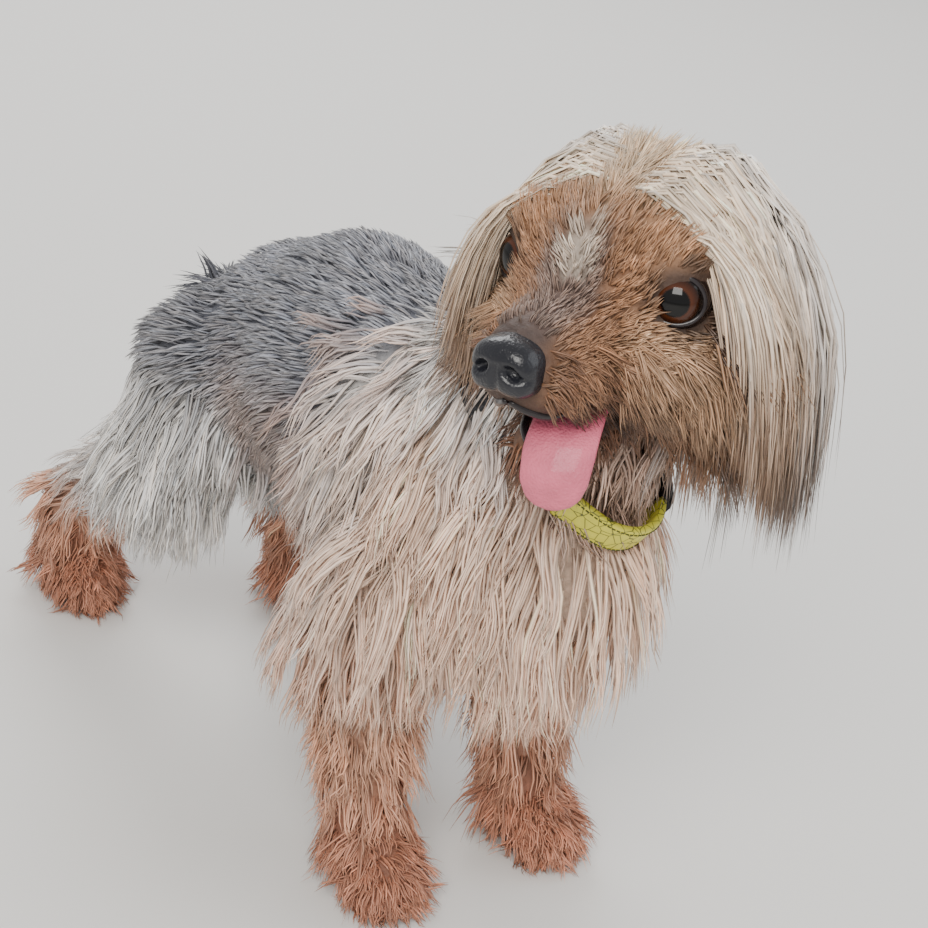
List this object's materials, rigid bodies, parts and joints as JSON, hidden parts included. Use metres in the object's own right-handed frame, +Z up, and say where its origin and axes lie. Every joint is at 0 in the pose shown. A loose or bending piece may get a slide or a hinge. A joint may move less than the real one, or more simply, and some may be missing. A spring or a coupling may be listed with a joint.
{
  "type": "yorkshire terrier",
  "caption": "Still life-size model of a small silky long-coated terrier standing with its head turned, mouth open, tongue out, wearing a webbing collar",
  "frame": {"origin": "on the floor, under the middle of the model's bounding box", "axes": "+Y towards the dog's tail, +X towards its left side, +Z up; the body faces -Y and the head is turned about 70 degrees to its right"},
  "size_m": [0.135, 0.3528, 0.2861],
  "materials": {
    "head": "long silky hair, silvery blond over tan, darker at the tips",
    "jaw": "short tan to dark hair, black lips",
    "nose": "moist blue-black nose leather",
    "tongue": "wet pink tongue",
    "eye": "wet dark brown eye",
    "ear": "drop ear with long hair, tan to black tips",
    "neck": "long silvery hair",
    "chest": "long cream to tan hair",
    "barrel": "clipped steel-blue coat",
    "rump": "clipped steel-blue coat",
    "tail": "short dark hair",
    "thigh": "long silver-blue hair",
    "hindleg": "long tan hair",
    "hindpaw": "rust-tan hair",
    "foreleg": "wavy tan hair",
    "forepaw": "rust-tan hair",
    "collar_strap": "black woven webbing",
    "collar_panel": "yellow-green band with fine dark branching lines",
    "collar_buckle": "black moulded side-release buckle"
  },
  "bodies": {
    "root": {"head": "head", "jaw": "jaw", "nose": "nose", "tongue": "tongue", "neck": "neck", "chest": "chest", "barrel": "barrel", "rump": "rump", "tail": "tail", "collar_strap": "collar_strap", "collar_panel": "collar_panel", "collar_buckle": "collar_buckle", "eye_left": "eye", "eye_right": "eye", "ear_left": "ear", "ear_right": "ear", "thigh_left": "thigh", "thigh_right": "thigh", "hindleg_left": "hindleg", "hindleg_right": "hindleg", "hindpaw_left": "hindpaw", "hindpaw_right": "hindpaw", "foreleg_left": "foreleg", "foreleg_right": "foreleg", "forepaw_left": "forepaw", "forepaw_right": "forepaw"}
  },
  "joints": []
}
